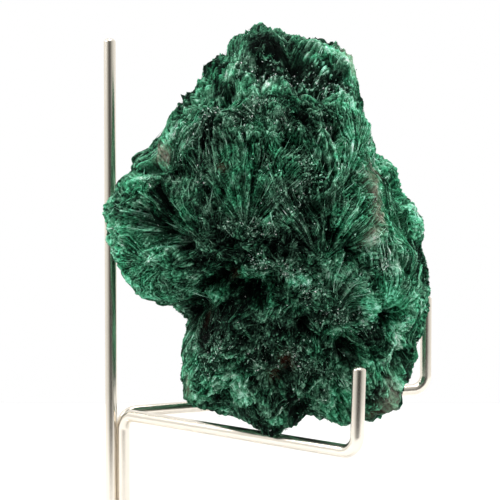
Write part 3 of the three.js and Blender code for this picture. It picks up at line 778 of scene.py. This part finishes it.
def relief(d):
    """The surface in the directions d: reach from the body, tone, fibre way, fan share and the painted
    shade of the hollows.

    Fans and stains are placed on the rounded body. Clumps, grains and crystals are cells in
    space round the carved form, so they keep their shape where a hollow is steep.
    """
    q = body(d)
    hollow = stains_and_painted_light(q)["painted_hollow_shade"]
    form = grain(q) + lumps(q) + lumps(q, EDGE_LUMPS) + ribs(q) - HOLLOW_DEPTH * hollow
    p = q + d * form[:, None]
    height, light, share, way = fan_field(q)
    fan = ease(height, 0.06, 0.25)

    # Clumps: the turn round a clump's middle is cut into blades, with a groove between them.
    near, next_near, away, own = cells(p, CLUMP, seed=11)
    crease = ease(next_near - near, 0.0, 1.0)
    aside = unit(np.cross(d, [0.31, 0.2, 0.93]))
    turn = np.arctan2((away * np.cross(d, aside)).sum(1), (away * aside).sum(1))
    count = np.round(9 + 9 * own) * (1 + (near > 1.5))
    u = (turn / (2 * np.pi) + 0.5) * count + 0.3 * noise(near * 1.5, own * 50, 8)
    blade = np.floor(u).astype(np.int64)
    spoke = hashed(blade, (own * 900).astype(np.int64), blade * 0, 5)
    groove = np.exp(-((np.minimum(u - blade, 1 - u + blade) / 0.15) ** 2)) * ease(near, 0.5, 1.2)
    clump = crease * (0.75 + 0.7 * (own - 0.5)) + 0.3 * (spoke - 0.5) - 0.15 * groove

    # Grains and crystals: rounded cells, each with a height of its own.
    near, next_near, _, own_grain = cells(p, GRAIN, seed=31)
    bump = ease(next_near - near, 0, 0.5) * (0.6 + 0.8 * own_grain)
    near, next_near, _, own_crystal = cells(p, CRYSTAL, seed=51)
    crystal = ease(next_near - near, 0, 0.25) * own_crystal
    rough = GRAIN_HEIGHT * bump + CRYSTAL_HEIGHT * crystal
    total = form + height + (1 - fan) * (CLUMP_HEIGHT * clump + rough)
    total += fan * (0.10 * crystal + 0.25 * crease * own)

    # Tone: different from spoke to spoke and in patches; lighter on raised bumps and crystals and darker
    # in grooves and in the creases between clumps, a painted light and shade that follows the relief.
    tone = (1 - fan) * (0.12 * crease + 0.28 * spoke - 0.2 * groove + 0.14 * bump + 0.3 * (crystal - 0.3))
    tone += fan * (0.9 * light - 0.1 + 0.12 * share**4 + 0.12 * (crystal - 0.4))
    tone += 0.38 * (cells(p, PATCH, seed=91)[3] - 0.42)

    # Pits and nodules: pits are commoner in a hollow, and nodules only grow near the crest. The pits are
    # sunk and also painted darker, a painted shade.
    near, _, _, own_pit = cells(p, PIT, seed=71)
    pit = (1 - ease(near, 0.25, 0.5 + 0.5 * own_pit)) * (own_pit < 0.13 + 0.4 * hollow)
    total -= PIT_DEPTH * pit
    nodule = ease(crystal, 0.5, 0.75) * ease(q[:, 2], 14, 22)
    tone += 0.25 * hollow * nodule - 0.5 * pit
    # The hollows' painted shade: strongest in the hollows, broken by grains and crystals, kept off the
    # nodules and lighter on the fans.
    painted_hollow_shade = ease(hollow + 0.4 * (own_grain - 0.5) + 0.2 * (own_crystal - 0.5), 0.3, 0.6)
    painted_hollow_shade *= (1 - 0.9 * nodule) * (1 - 0.2 * fan)

    clump_way = unit(away - (away * d).sum(1)[:, None] * d)
    way = unit(np.where(fan[:, None] > 0.5, way, clump_way + 0.25 * d))
    return total, tone, way, fan, painted_hollow_shade


def crust_surface(d, lift):
    """Points of the stone with its relief, and the relief's other values."""
    height, tone, way, fan, painted_hollow_shade = relief(d)
    points = body(d) + d * (height - CRUST_SINK + lift)[:, None] + STONE_CENTRE
    return clear_of_wires(points), tone, way, fan, painted_hollow_shade


d = unit(np.random.default_rng(1).normal(size=(4000, 3)))
height, tone, _, fan, _ = relief(d)
print("height", height.mean().round(2), "to", height.max().round(2), "fan share", fan.mean().round(2))

# %% [markdown]
# ## The crust
#
# The stone's skin is a box of grids blown up onto its surface. The box sits off centre, so that
# its front covers all that the photograph shows. There the grid is finest, and it is cut in two,
# one above the other. Each grid is a closed piece: its rim reaches a little past the next
# grid's rim, so that no gap shows, and from there it narrows to a point at the stone's middle.

# %% Crust
BOX_SHIFT = np.array([0, 0.35, 0])
OVERLAP = 0.02
# Each grid: the axis it faces along and which way, its two ranges, and its faces along both.
CRUST_PATCHES = {
    "front_top": (1, -1, (-1, 1), (0, 1), 420, 205),
    "front_low": (1, -1, (-1, 1), (-1, 0), 420, 205),
    "left": (0, -1, (-1, 1), (-1, 1), 140, 140),
    "right": (0, 1, (-1, 1), (-1, 1), 140, 140),
    "top": (2, 1, (-1, 1), (-1, 1), 140, 140),
    "bottom": (2, -1, (-1, 1), (-1, 1), 110, 110),
    "back": (1, 1, (-1, 1), (-1, 1), 140, 140),
}


def box_patch(axis, sign, u_range, v_range, u_count, v_count):
    """Directions and triangles of one grid of the box, closed by a point at the middle."""
    u = np.linspace(u_range[0] - OVERLAP, u_range[1] + OVERLAP, u_count + 1)
    v = np.linspace(v_range[0] - OVERLAP, v_range[1] + OVERLAP, v_count + 1)
    u, v = (np.tan(g * np.pi / 4) for g in np.meshgrid(u, v, indexing="ij"))
    point = np.empty((u_count + 1, v_count + 1, 3))
    point[..., axis] = sign
    first_axis, second_axis = [(1, 2), (0, 2), (0, 1)][axis]
    point[..., first_axis], point[..., second_axis] = u, v
    number = np.arange(u.size).reshape(u.shape)
    a, b, c, e = number[:-1, :-1], number[1:, :-1], number[1:, 1:], number[:-1, 1:]
    rim = np.concatenate([number[:-1, 0], number[-1, :-1], number[:0:-1, -1], number[0, :0:-1]])
    cone = np.stack([np.roll(rim, -1), rim, np.full_like(rim, u.size)], 1)
    faces = np.concatenate([two_triangles(a, b, c, e), cone])
    if sign * (1 if axis != 1 else -1) < 0:
        faces = faces[:, ::-1]
    return unit(point.reshape(-1, 3) + BOX_SHIFT), faces


def stone_piece(name, q, points_mm, faces, material, attributes):
    """A piece of the stone that stands for its CAD node, with the stains and painted light and shade of
    its body points.
    """
    piece = mesh_piece(name, points_mm, faces, {**stains_and_painted_light(q), **attributes})
    piece.data.materials.append(material)
    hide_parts("malachite")
    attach(piece, "root")
    return piece


def crust(name):
    """One closed patch of the stone's skin; its last point is the stone's middle."""
    d, faces = box_patch(*CRUST_PATCHES[name])
    points, tone, _, _, painted_hollow_shade = crust_surface(d, 0.0)
    q = body(np.append(d, d[:1], axis=0))
    points = np.append(points, STONE_CENTRE[None], axis=0)
    values = {"tone": np.append(tone, 0), "tip": np.zeros(len(points)), "painted_hollow_shade": np.append(painted_hollow_shade, 1)}
    return stone_piece(f"crust_{name}", q, points, faces, crust_material, values)


for name in CRUST_PATCHES:
    crust(name)

# %% [markdown]
# ## Needles
#
# Hair would be lost when the model is exported, so every needle is a real solid with four
# faces: a small triangle at its root and a point at its tip, with a ridge between two of its
# sides that faces outwards and glints. All the needles of one piece are made at once. Each
# starts at a random place and follows the relief's fibre direction there. The long ones lie
# close to the blades, and the short ones stand up and stray more. Few grow in the dark hollows.

# %% Needles
def needle_mesh(root, tip, up, width, tone):
    """Corners at root +- side * width / 2 and root + up * width / 2, joined to the tip."""
    side = unit(np.cross(tip - root, up)) * width[:, None] / 2
    ridge = up * width[:, None] / 2
    points = np.stack([root + side, root + ridge, root - side, tip], 1).reshape(-1, 3)
    first = np.arange(len(root))[:, None] * 4
    sides = ([1, 0, 3], [2, 1, 3], [0, 2, 3], [0, 1, 2])
    faces = np.concatenate([first + np.array(corners) for corners in sides])
    return points, faces, {"tone": np.repeat(tone, 4), "tip": np.tile([0, 0, 0, 1.0], len(root))}


def scattered(count, rng):
    """Random directions, drawn towards the front, where the photograph looks."""
    return unit(unit(rng.normal(size=(count, 3))) - BOX_SHIFT)


def needles(name, count, length, width, raised, stray, seed):
    """A piece of needles; they are longer and lie closer to the crust in the fans."""
    rng = np.random.default_rng(seed)
    d = scattered(count, rng)
    d = d[stains_and_painted_light(body(d))["painted_hollow_shade"] < 0.2 + 0.4 * rng.random(count)]
    count = len(d)
    root, tone, way, fan, painted_hollow_shade = crust_surface(d, -0.2)
    size = length * (0.5 + rng.random(count)) * (0.55 + 0.45 * fan)
    way = way + stray * (1.3 - fan)[:, None] * rng.normal(size=(count, 3))
    reach = body(d) + way * size[:, None]
    end_tip, *_ = crust_surface(unit(reach), raised * rng.random(count) * (1.2 - 0.5 * fan))
    tone = tone + 0.08 * rng.normal(size=count)
    wide = width * (0.6 + 0.8 * rng.random(count))
    points, faces, values = needle_mesh(root, end_tip, d, wide, tone)
    values["painted_hollow_shade"] = np.repeat(painted_hollow_shade, 4)
    return stone_piece(name, np.repeat(body(d), 4, axis=0), points, faces, needle_material, values)


needles("long_needles", count=22000, length=2.2, width=0.2, raised=0.05, stray=0.06, seed=41)
needles("short_needles", count=22000, length=1.0, width=0.2, raised=0.16, stray=0.35, seed=42)

# %% [markdown]
# ## Sparkling grains
#
# Tiny pale crystals gather where the frost is: on the rims of the fans, along the crest and on
# the lower block. A few sit anywhere. Each is the same four-faced solid as a needle, but short
# and light in tone, partly its own paleness and partly a painted glint, so it shows as a white
# speck.

# %% Sparkles
def sparkles(name, tries, size, seed):
    """Short crystals, kept where the frost is, and here and there elsewhere."""
    rng = np.random.default_rng(seed)
    d = scattered(tries, rng)
    d = d[stains_and_painted_light(body(d))["frost"] + 0.02 > rng.random(tries)]
    n = len(d)
    length = size * (0.5 + rng.random(n))
    foot, _, _, _, painted_hollow_shade = crust_surface(d, -0.08 * rng.random(n))
    tip = foot + unit(d + 0.7 * rng.normal(size=(n, 3))) * length[:, None]
    # A light tone: partly the crystals' own paleness, partly a painted glint.
    tone = np.clip(0.55 + 0.25 * rng.normal(size=n), 0.2, 1.0)
    points, faces, values = needle_mesh(foot, clear_of_wires(tip), d, length * 0.9, tone)
    values["painted_hollow_shade"] = np.repeat(0.3 * painted_hollow_shade, 4)
    return stone_piece(name, np.repeat(body(d), 4, axis=0), points, faces, needle_material, values)


sparkles("sparkles", tries=60000, size=0.34, seed=21)

# %% [markdown]
# ## Bending a wire
#
# Each wire of the stand is one round profile carried along a bent path: straight runs joined by
# round bends, and a low dome at each end. The CAD wires have twelve flat sides, so finer ones
# with the same path stand for them here.

# %% Bending a wire
BEND_STEPS, WIRE_SIDES = 14, 32
DOME_RISE, DOME_STEPS, SMALLEST_RING, END_PEAK = 0.8, 7, 0.02, 0.004


def bent_path(corners, radii):
    """Stations along straight runs joined by arcs that touch the runs on both sides of a corner."""
    stations = [corners[0]]
    for before, corner, after, radius in zip(corners, corners[1:], corners[2:], radii):
        into, out = unit(corner - before), unit(after - corner)
        turn = math.acos(float(np.clip(into @ out, -1, 1)))
        centre = corner + unit(out - into) * radius / math.cos(turn / 2)
        start = corner - into * radius * math.tan(turn / 2) - centre
        sideways = into * radius
        for t in np.linspace(0, turn, BEND_STEPS + 1):
            stations.append(centre + start * math.cos(t) + sideways * math.sin(t))
    stations.append(corners[-1])
    return np.array(stations)


def domed(path):
    """The path and a radius at each station, with extra stations that round off both ends."""
    t = np.linspace(0, np.pi / 2, DOME_STEPS)
    first, last = unit(path[0] - path[1]), unit(path[-1] - path[-2])
    head = path[0] + np.outer(np.cos(t) * DOME_RISE, first)
    tail = path[-1] + np.outer(np.sin(t) * DOME_RISE, last)
    radii = np.concatenate([np.sin(t), np.ones(len(path) - 2), np.cos(t)]) * WIRE_RADIUS
    return np.concatenate([head, path[1:-1], tail]), np.maximum(radii, SMALLEST_RING)


def sweep(path, radii, normal):
    """Rings round each station, radius (cos a normal + sin a binormal), and a point at each end."""
    ahead = unit(np.gradient(path, axis=0))
    binormal = unit(np.cross(ahead, normal))
    inward = np.cross(binormal, ahead)
    a = np.linspace(0, 2 * np.pi, WIRE_SIDES, endpoint=False)[None, :, None]
    ring = inward[:, None] * np.cos(a) + binormal[:, None] * np.sin(a)
    points = (path[:, None] + ring * radii[:, None, None]).reshape(-1, 3)
    i, j = np.meshgrid(np.arange(len(path) - 1), np.arange(WIRE_SIDES), indexing="ij")
    low, next_low = i * WIRE_SIDES + j, i * WIRE_SIDES + (j + 1) % WIRE_SIDES
    high, next_high = low + WIRE_SIDES, next_low + WIRE_SIDES
    faces = [two_triangles(low, next_low, next_high, high)]
    j = np.arange(WIRE_SIDES)
    k = (j + 1) % WIRE_SIDES
    last, total = len(points) - WIRE_SIDES, len(points)
    faces.append(np.stack([np.full_like(j, total), k, j], 1))
    faces.append(np.stack([np.full_like(j, total + 1), last + j, last + k], 1))
    peak = ahead * END_PEAK
    points = np.concatenate([points, path[:1] - peak[:1], path[-1:] + peak[-1:]])
    length = np.concatenate([[0], np.cumsum(np.linalg.norm(np.diff(path, axis=0), axis=1))])
    along = np.concatenate([np.repeat(length, WIRE_SIDES), [0, length[-1]]])
    return points, np.concatenate(faces), {"along": along}


print("a bend has", BEND_STEPS + 1, "stations, and each ring", WIRE_SIDES, "points")

# %% [markdown]
# ## The wire's metal
#
# The wire is taken as nickel, drawn bright and a little warm in tint. Drawn wire isn't an even
# mirror, so a fine noise varies how rough it is, and broad faint blotches make it duller here
# and there. The collar is the same metal, darker and rougher, because it isn't drawn.

# %% Wire metal
WIRE_NICKEL, COLLAR_NICKEL = (0.92, 0.85, 0.75), (0.55, 0.53, 0.49)


def metal_material(name, colour, roughness, streaks):
    """Drawn metal: a fine noise varies its roughness, and faint blotches vary its tint."""
    material, tree, shader = new_material(name)
    place = tree.nodes.new("ShaderNodeTexCoord").outputs["Object"]
    fine = noise_value(tree, place, Scale=2200.0, Detail=2.0)
    blotch = noise_value(tree, place, Scale=90.0, Detail=3.0)
    darker = tuple(0.9 * part for part in colour)
    tree.links.new(mix(tree, blotch, colour, darker), shader.inputs["Base Color"])
    rough = maths(tree, "MULTIPLY_ADD", fine, streaks, roughness)
    tree.links.new(rough, shader.inputs["Roughness"])
    shader.inputs["Metallic"].default_value = 1.0
    return material


wire_metal = metal_material("drawn_nickel_wire", WIRE_NICKEL, roughness=0.21, streaks=0.04)
print("wire metal:", wire_metal.name)

# %% [markdown]
# ## The three wires
#
# A wire is given by its corners. The two arms' wires start as feet on the table, bend up beside
# the rod, bend out under the stone, and end in a tip that keeps it from sliding off. The rod has
# a foot too, and goes straight up behind the stone. The photograph cuts the feet off, so they
# are guessed.

# %% Wires
FOOT_LENGTH, BACK_FOOT_LENGTH, BACK_FOOT_TURN = 70.0, 48.0, math.radians(166.4)
ROD_TOP, BEND, FOOT_BEND = 120.5, 3.2, 6.0


def wire_piece(name, node, corners, radii, material):
    """One bent wire that stands for its CAD node; its bends all lie in one upright plane."""
    corners = [np.array(c, float) for c in corners]
    run = corners[0] - corners[1]
    sideways = np.array([-run[1], run[0], 0]) / np.hypot(run[0], run[1])
    points, faces, values = sweep(*domed(bent_path(corners, radii)), sideways)
    piece = mesh_piece(name, points, faces, values, smooth=True)
    piece.data.materials.append(material)
    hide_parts(node)
    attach(piece, "root")
    return piece


for name, (leg, arm) in zip(("near", "far"), ARMS):
    foot_way = arm["run"] / np.hypot(*arm["run"])
    at = ROD + leg
    tip_at = at + arm["run"]
    level = ARM_HEIGHT + arm["rise"]
    arm_corners = [
        (*(at + foot_way * FOOT_LENGTH), WIRE_RADIUS), (*at, WIRE_RADIUS), (*at, ARM_HEIGHT),
        (*tip_at, level), (*(tip_at + foot_way * arm["lean"]), level + arm["tip"]),
    ]
    wire_piece(f"{name}_arm_wire", f"{name}_arm", arm_corners, [FOOT_BEND, BEND, BEND], wire_metal)
foot_way = np.array([math.cos(BACK_FOOT_TURN), math.sin(BACK_FOOT_TURN)])
rod_corners = [
    (*(ROD + foot_way * BACK_FOOT_LENGTH), WIRE_RADIUS), (*ROD, WIRE_RADIUS),
    (*ROD, ROD_TOP - DOME_RISE),
]
wire_piece("back_rod_wire", "back_rod", rod_corners, [FOOT_BEND], wire_metal)

# %% [markdown]
# ## The collar
#
# A small sleeve holds the three wires together. Round its middle both its inside and its
# outside are distances that depend on the angle alone, so the sleeve is one closed band: a
# rounded rectangle that is carried once round the wires.

# %% Collar
COLLAR_BOTTOM, COLLAR_HEIGHT, COLLAR_WALL, COLLAR_EDGE = 9.0, 7.0, 0.9, 0.3
WIRE_GAP = 0.3


def reach_of_circles(angles, centres, radius):
    """How far a ray at each angle goes before it leaves the last of several circles."""
    ray = np.stack([np.cos(angles), np.sin(angles)], 1)
    along = ray @ centres.T
    aside = np.abs(ray[:, :1] * centres[:, 1] - ray[:, 1:] * centres[:, 0])
    exits = along + np.sqrt(np.maximum(radius**2 - aside**2, 0))
    return np.where(aside < radius, exits, 0).max(1)


def reach_of_band(angles, centres, radius):
    """How far a ray goes before it leaves a band stretched round the circles."""
    ways = np.linspace(0, 2 * np.pi, 720, endpoint=False)
    support = (np.stack([np.cos(ways), np.sin(ways)], 1) @ centres.T).max(1) + radius
    facing = np.cos(angles[:, None] - ways[None, :])
    return np.where(facing > 0.05, support / np.maximum(facing, 0.05), np.inf).min(1)


# The wires' middles are its centres, and each corner of the section is a small round.
posts = np.array([[0, 0], NEAR_LEG, FAR_LEG], float)
middle_of_posts = posts.mean(0)
turns = np.linspace(0, 2 * np.pi, 96, endpoint=False)
inner = reach_of_circles(turns, posts - middle_of_posts, WIRE_RADIUS + WIRE_GAP)
outer = reach_of_band(turns, posts - middle_of_posts, WIRE_RADIUS + WIRE_GAP + COLLAR_WALL)
corner_turns = np.linspace(0, np.pi / 2, 6)
section = []
for side_sign, z_sign, start in ((1, -1, 3), (1, 1, 0), (-1, 1, 1), (-1, -1, 2)):
    for t in corner_turns + start * np.pi / 2:
        section.append((side_sign, z_sign, math.cos(t), math.sin(t)))
section = np.array(section)
half = (outer - inner)[:, None] / 2 - COLLAR_EDGE
radius = (outer + inner)[:, None] / 2 + section[:, 0] * half + section[:, 2] * COLLAR_EDGE
height = section[:, 1] * (COLLAR_HEIGHT / 2 - COLLAR_EDGE) + section[:, 3] * COLLAR_EDGE
x = ROD[0] + middle_of_posts[0] + radius * np.cos(turns)[:, None]
y = ROD[1] + middle_of_posts[1] + radius * np.sin(turns)[:, None]
z = np.broadcast_to(COLLAR_BOTTOM + COLLAR_HEIGHT / 2 + height, radius.shape)
points = np.stack([x, y, z], -1).reshape(-1, 3)
i, j = np.meshgrid(np.arange(len(turns)), np.arange(len(section)), indexing="ij")
i2, j2 = (i + 1) % len(turns), (j + 1) % len(section)
w = len(section)
faces = np.stack([i * w + j, i2 * w + j, i2 * w + j2, i * w + j2], -1).reshape(-1, 4)
collar = mesh_piece("collar_sleeve", points, faces, smooth=True)
collar.data.materials.append(metal_material("collar_metal", COLLAR_NICKEL, roughness=0.3, streaks=0.25))
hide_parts("stem_collar")
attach(collar, "root")

# %% [markdown]
# ## Lamps and floor
#
# The photograph has a plain white ground. A pale floor carries the object, and soft lamps from
# the upper left, the right and above shape the stone. The right one is kept out of reflections,
# where it would draw a white line down the rod. The floor ends soon in front, because the shiny
# wires mirror what lies there, and that has to be dark.

# %% Lamps and floor
def soft_lamp(name, place, aim, size, power):
    """A square area lamp at a place in metres, turned towards a point."""
    data = bpy.data.lights.new(name, "AREA")
    data.size = size
    data.energy = power
    lamp = bpy.data.objects.new(name, data)
    away = np.array(place) - np.array(aim)
    lamp.location = place
    turn = math.atan2(away[1], away[0]) + math.pi / 2
    tilt = math.atan2(math.hypot(away[0], away[1]), away[2])
    lamp.rotation_euler = (tilt, 0, turn)
    bpy.context.scene.collection.objects.link(lamp)
    return lamp


middle = (0.02, 0.0, 0.08)
soft_lamp("left_lamp", (-0.50, -0.08, 0.48), middle, 0.25, 3.0)
soft_lamp("right_lamp", (0.55, -0.05, 0.45), middle, 0.35, 2.9).visible_glossy = False
soft_lamp("top_lamp", (0.0, -0.05, 0.90), middle, 0.50, 4.0)

# The floor reaches 300 mm from the origin, but only 165 mm towards the camera.
FLOOR_REACH, FLOOR_FRONT = 300, 165
floor_material, _, floor_shader = new_material("pale_floor")
floor_shader.inputs["Base Color"].default_value = (0.7, 0.7, 0.7, 1)
floor_shader.inputs["Roughness"].default_value = 0.7
corners = np.array([
    [-FLOOR_REACH, -FLOOR_FRONT, 0], [FLOOR_REACH, -FLOOR_FRONT, 0],
    [FLOOR_REACH, FLOOR_REACH, 0], [-FLOOR_REACH, FLOOR_REACH, 0],
], float)
floor = mesh_piece("floor", corners, np.array([[0, 1, 2, 3]]))
floor.data.materials.append(floor_material)
print("lamps:", [lamp.name for lamp in bpy.data.lights])

# %% [markdown]
# ## The light of the room
#
# The world is white where the camera sees it. As a light it is dim straight behind the camera
# and bright beyond the stone, so the wires show a dark middle between light edges, and the
# stone keeps deep shadows in its hollows.

# %% The light of the room
world = bpy.data.worlds.new("studio")
world.use_nodes = True
tree = world.node_tree
ways = tree.nodes.new("ShaderNodeSeparateXYZ")
tree.links.new(tree.nodes.new("ShaderNodeTexCoord").outputs["Generated"], ways.inputs[0])
# from_dark is 0 straight behind the camera, and 1 the other way.
from_dark = maths(tree, "MULTIPLY", ways.outputs["X"], 0.05)
from_dark = maths(tree, "MULTIPLY_ADD", ways.outputs["Y"], -0.999, from_dark)
from_dark = maths(tree, "MULTIPLY_ADD", from_dark, -0.5, 0.5)
glow = ramp(tree, from_dark, [
    (0.0, (0.05, 0.05, 0.045)), (0.03, (0.08, 0.08, 0.075)), (0.08, (0.28, 0.28, 0.27)),
    (0.16, (0.5, 0.5, 0.48)), (0.3, (0.7, 0.7, 0.68)), (0.85, (1.0, 1.0, 0.98)),
])
room = tree.nodes["Background"]
tree.links.new(glow, room.inputs["Color"])
room.inputs["Strength"].default_value = 1.0
white = add_node(tree, "ShaderNodeBackground", Color=(1, 1, 1, 1), Strength=1.0)
choose = tree.nodes.new("ShaderNodeMixShader")
tree.links.new(tree.nodes.new("ShaderNodeLightPath").outputs["Is Camera Ray"], choose.inputs[0])
tree.links.new(room.outputs[0], choose.inputs[1])
tree.links.new(white.outputs[0], choose.inputs[2])
tree.links.new(choose.outputs[0], tree.nodes["World Output"].inputs["Surface"])
bpy.context.scene.world = world
bpy.context.scene.view_settings.view_transform = "Standard"
print("the room's light has", len(tree.nodes), "nodes")
